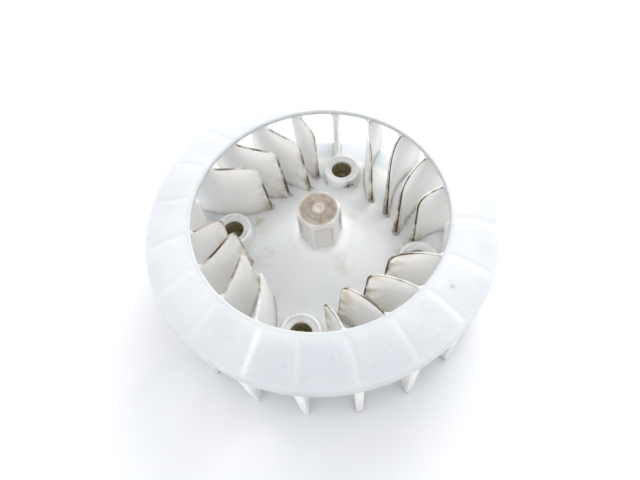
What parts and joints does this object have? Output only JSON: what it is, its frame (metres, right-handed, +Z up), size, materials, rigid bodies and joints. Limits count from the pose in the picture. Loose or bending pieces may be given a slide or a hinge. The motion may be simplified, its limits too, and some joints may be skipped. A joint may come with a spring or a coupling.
{
  "type": "cooling fan wheel",
  "caption": "Shrouded radial cooling-fan wheel with swept vanes, metal-lined screw bosses and a hexagonal turning post, made to bolt onto a small engine's flywheel.",
  "frame": {"origin": "on the wheel's axis, in the plane of the vane feet that it stands on", "axes": "+Z up the wheel's axis, towards the inlet eye and the post; the four screw bosses lie on +X, +Y, -X and -Y"},
  "size_m": [0.168, 0.168, 0.0569],
  "materials": {
    "nylon_ring": "satin, milky translucent natural nylon",
    "nylon_disc": "satin, milky natural nylon",
    "nylon_vane": "satin, milky natural nylon with grime along the edges",
    "nylon_boss": "satin, milky natural nylon",
    "nylon_post": "worn and stained brown by the wrench",
    "sleeve_steel": "aged yellow zinc plating"
  },
  "bodies": {
    "root": {"shroud_ring": "nylon_ring", "back_disc": "nylon_disc", "hex_drive_post": "nylon_post", "vane_01": "nylon_vane", "vane_02": "nylon_vane", "vane_03": "nylon_vane", "vane_04": "nylon_vane", "vane_05": "nylon_vane", "vane_06": "nylon_vane", "vane_07": "nylon_vane", "vane_08": "nylon_vane", "vane_09": "nylon_vane", "vane_10": "nylon_vane", "vane_11": "nylon_vane", "vane_12": "nylon_vane", "vane_13": "nylon_vane", "vane_14": "nylon_vane", "vane_15": "nylon_vane", "vane_16": "nylon_vane", "vane_17": "nylon_vane", "vane_18": "nylon_vane", "vane_19": "nylon_vane", "vane_20": "nylon_vane", "screw_boss_1": "nylon_boss", "screw_boss_2": "nylon_boss", "screw_boss_3": "nylon_boss", "screw_boss_4": "nylon_boss", "sleeve_1": "sleeve_steel", "sleeve_2": "sleeve_steel", "sleeve_3": "sleeve_steel", "sleeve_4": "sleeve_steel"}
  },
  "joints": []
}
